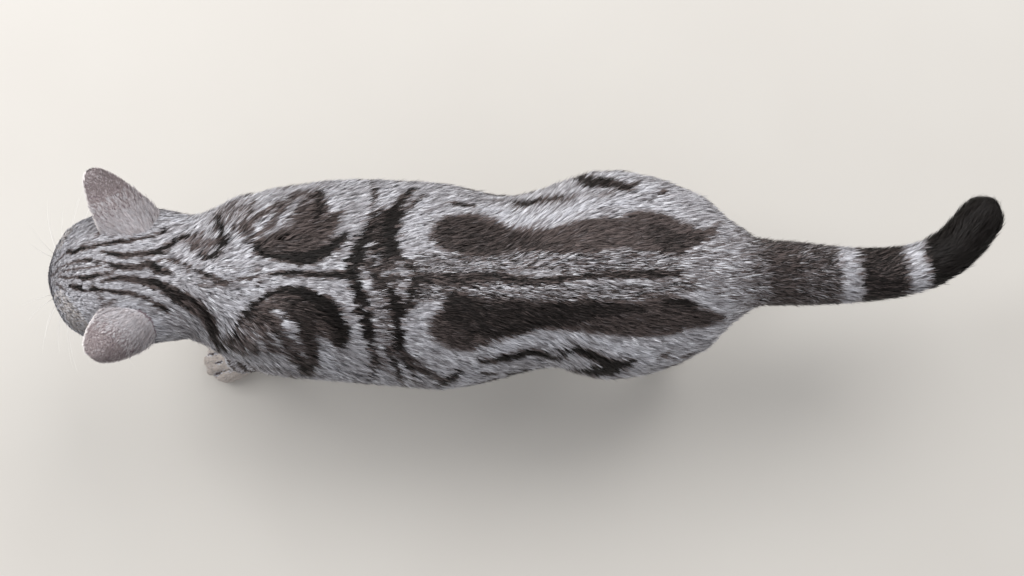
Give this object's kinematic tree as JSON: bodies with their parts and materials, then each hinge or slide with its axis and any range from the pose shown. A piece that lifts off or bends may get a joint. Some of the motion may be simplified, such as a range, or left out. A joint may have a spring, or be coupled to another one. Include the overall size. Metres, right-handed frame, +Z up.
{
  "type": "domestic cat",
  "caption": "Life-size still model of a short-haired silver tabby cat in mid-stride, head carried low, tail trailing with its tip turned aside.",
  "frame": {"origin": "on the floor under the middle of the cat's length and width", "axes": "-X is the way the cat faces, with its tail towards +X; +Y is the cat's right side; +Z is up"},
  "size_m": [0.7388, 0.1744, 0.2506],
  "materials": {
    "coat": "short plush fur, silver tabby",
    "ear_coat": "very short velvety fur over pink skin",
    "eye": "wet, clear and glossy over a green-gold iris",
    "nose_leather": "fine-grained, slightly damp",
    "whisker": "smooth stiff pale hair",
    "paw_pad": "fine pebbled, dry"
  },
  "bodies": {
    "root": {"ear_left": "ear_coat", "ear_right": "ear_coat", "eye_left": "eye", "eye_right": "eye", "foreleg_left_lower": "coat", "foreleg_left_paw": "coat", "foreleg_left_upper": "coat", "foreleg_right_lower": "coat", "foreleg_right_paw": "coat", "foreleg_right_upper": "coat", "head": "coat", "hindleg_left_foot": "coat", "hindleg_left_lower": "coat", "hindleg_left_upper": "coat", "hindleg_right_foot": "coat", "hindleg_right_lower": "coat", "hindleg_right_upper": "coat", "neck": "coat", "nose": "nose_leather", "tail_middle": "coat", "tail_root": "coat", "tail_tip": "coat", "trunk": "coat"}
  },
  "joints": []
}
